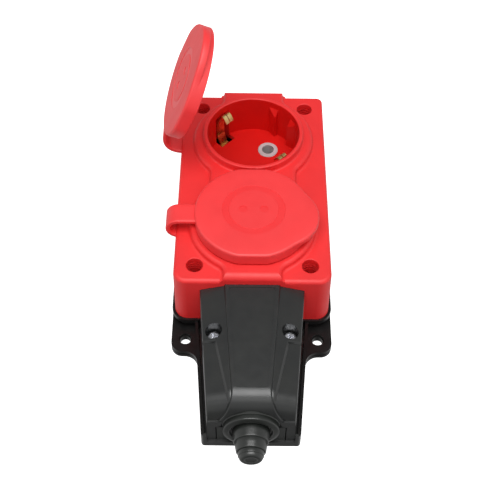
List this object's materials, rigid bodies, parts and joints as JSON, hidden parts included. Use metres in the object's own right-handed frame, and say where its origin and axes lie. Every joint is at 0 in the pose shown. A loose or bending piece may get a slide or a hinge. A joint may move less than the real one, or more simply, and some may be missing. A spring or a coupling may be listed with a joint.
{
  "type": "portable power distribution box",
  "caption": "Splash-proof socket box: red rubber housing with earthed sockets under strap-hinged lids, on a black tray with fixing ears, cable cover and stepped gland.",
  "frame": {"origin": "on the tray's flat underside, midway between the two sockets", "axes": "+Z out of the sockets, +Y from the cable end to the rear, +X to the right seen from the cable end"},
  "size_m": [0.0715, 0.1817, 0.094],
  "materials": {
    "red_rubber": "satin",
    "black_plastic": "satin",
    "charcoal_plastic": "satin",
    "black_rubber": "matte",
    "grey_plastic": "satin",
    "cream_plastic": "matte",
    "brass": "polished",
    "zinc_steel": "bright zinc"
  },
  "bodies": {
    "enclosure": {"base_tray": "black_plastic", "housing_gasket": "black_rubber", "upper_housing": "red_rubber", "cable_cover": "charcoal_plastic", "cover_seal": "black_rubber", "cable_gland": "black_rubber", "cable_clamp_bar": "black_plastic", "housing_screws": "zinc_steel", "cover_screws": "zinc_steel", "clamp_screws": "zinc_steel", "carrier_screws": "zinc_steel", "line_busbar": "brass", "neutral_busbar": "brass", "earth_busbar": "brass", "terminal_block": "cream_plastic", "terminal_clamps": "brass", "terminal_screws": "zinc_steel", "front_contact_carrier": "cream_plastic", "front_pin_bushings": "grey_plastic", "front_line_contact": "brass", "front_neutral_contact": "brass", "front_earth_clip": "brass", "front_lid_strap": "red_rubber", "rear_contact_carrier": "cream_plastic", "rear_pin_bushings": "grey_plastic", "rear_line_contact": "brass", "rear_neutral_contact": "brass", "rear_earth_clip": "brass", "rear_lid_strap": "red_rubber"},
    "rear_lid_body": {"rear_lid": "red_rubber", "rear_lid_seal": "black_rubber"},
    "front_lid_body": {"front_lid": "red_rubber", "front_lid_seal": "black_rubber"}
  },
  "joints": [
    {"name": "rear_lid_hinge", "type": "hinge", "parent": "enclosure", "child": "rear_lid_body", "pos_m": [-0.0345, 0.02327, 0.0345], "axis": [0, -1, 0], "range_deg": [-68, 112], "deforming": ["rear_lid_strap"]},
    {"name": "front_lid_hinge", "type": "hinge", "parent": "enclosure", "child": "front_lid_body", "pos_m": [-0.0345, -0.02327, 0.0345], "axis": [0, -1, 0], "range_deg": [0, 180], "deforming": ["front_lid_strap"]}
  ]
}
